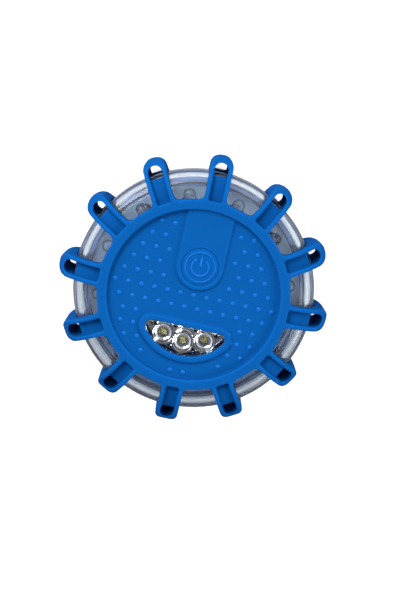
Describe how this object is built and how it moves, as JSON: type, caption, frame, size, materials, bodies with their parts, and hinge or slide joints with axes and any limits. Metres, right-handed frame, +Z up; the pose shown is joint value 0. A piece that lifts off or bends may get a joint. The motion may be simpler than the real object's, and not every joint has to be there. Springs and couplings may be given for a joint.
{
  "type": "road flare",
  "caption": "Round battery LED road flare in a blue rubber jacket of hollow bumper loops round a clear lens, with a torch window, power button, magnet and hanging bail.",
  "frame": {"origin": "centre of the plane that the back rests on, on the axis of the round body", "axes": "+Z up out of the lit face, +Y from the centre towards the power button"},
  "size_m": [0.1086, 0.1086, 0.033],
  "materials": {
    "jacket_rubber": "satin moulded",
    "button_rubber": "satin moulded",
    "clear_plastic": "clear gloss",
    "seal_rubber": "matt",
    "chrome_plating": "mirror",
    "board_aluminium": "satin",
    "board_green": "solder mask",
    "led_epoxy": "clear gloss",
    "led_phosphor": "matt",
    "black_plastic": "matt",
    "grey_plastic": "fine texture",
    "gasket_rubber": "matt",
    "nickel_plate": "bright plated",
    "bright_steel": "bright",
    "cell_wrap": "shrink sleeve"
  },
  "bodies": {
    "housing": {"rubber_jacket": "jacket_rubber", "clear_housing": "clear_plastic", "base_housing": "clear_plastic", "housing_seal": "seal_rubber", "torch_window": "clear_plastic", "reflector": "chrome_plating", "torch_board": "board_aluminium", "torch_led_1": "led_phosphor", "torch_led_2": "led_phosphor", "torch_led_3": "led_phosphor", "main_board": "board_green", "side_led_01": "led_epoxy", "side_led_02": "led_epoxy", "side_led_03": "led_epoxy", "side_led_04": "led_epoxy", "side_led_05": "led_epoxy", "side_led_06": "led_epoxy", "side_led_07": "led_epoxy", "side_led_08": "led_epoxy", "side_led_09": "led_epoxy", "side_led_10": "led_epoxy", "side_led_11": "led_epoxy", "side_led_12": "led_epoxy", "switch_body": "black_plastic", "control_chip": "black_plastic", "board_screw_1": "bright_steel", "board_screw_2": "bright_steel", "board_screw_3": "bright_steel", "board_screw_4": "bright_steel", "battery_tray": "grey_plastic", "battery_1": "cell_wrap", "battery_2": "cell_wrap", "battery_3": "cell_wrap", "contact_spring_1": "nickel_plate", "contact_spring_2": "nickel_plate", "contact_spring_3": "nickel_plate", "contact_plate_left": "nickel_plate", "contact_plate_right": "nickel_plate"},
    "button": {"power_button": "button_rubber"},
    "plunger": {"switch_plunger": "black_plastic"},
    "rear_cover": {"rear_cover": "grey_plastic", "cover_gasket": "gasket_rubber", "magnet": "nickel_plate", "cover_screw_1": "bright_steel", "cover_screw_2": "bright_steel", "cover_screw_3": "bright_steel", "cover_screw_4": "bright_steel"},
    "bail": {"hanging_bail": "bright_steel"}
  },
  "joints": [
    {"name": "button_press", "type": "slide", "parent": "housing", "child": "button", "axis": [0, 0, -1], "range_m": [0, 0.0008], "stiffness_N_per_m": 2500},
    {"name": "plunger_slide", "type": "slide", "parent": "housing", "child": "plunger", "axis": [0, 0, -1], "range_m": [0, 0.0008]},
    {"name": "cover_lift_off", "type": "slide", "parent": "housing", "child": "rear_cover", "axis": [0, 0, -1], "range_m": [0, 0.02]},
    {"name": "bail_swing", "type": "hinge", "parent": "rear_cover", "child": "bail", "pos_m": [0.00754, 0.02814, 0.0014], "axis": [0.9659, -0.2588, 0], "range_deg": [0, 180]}
  ],
  "couplings": [
    {"joint": "plunger_slide", "follows": "button_press", "ratio": 1}
  ]
}
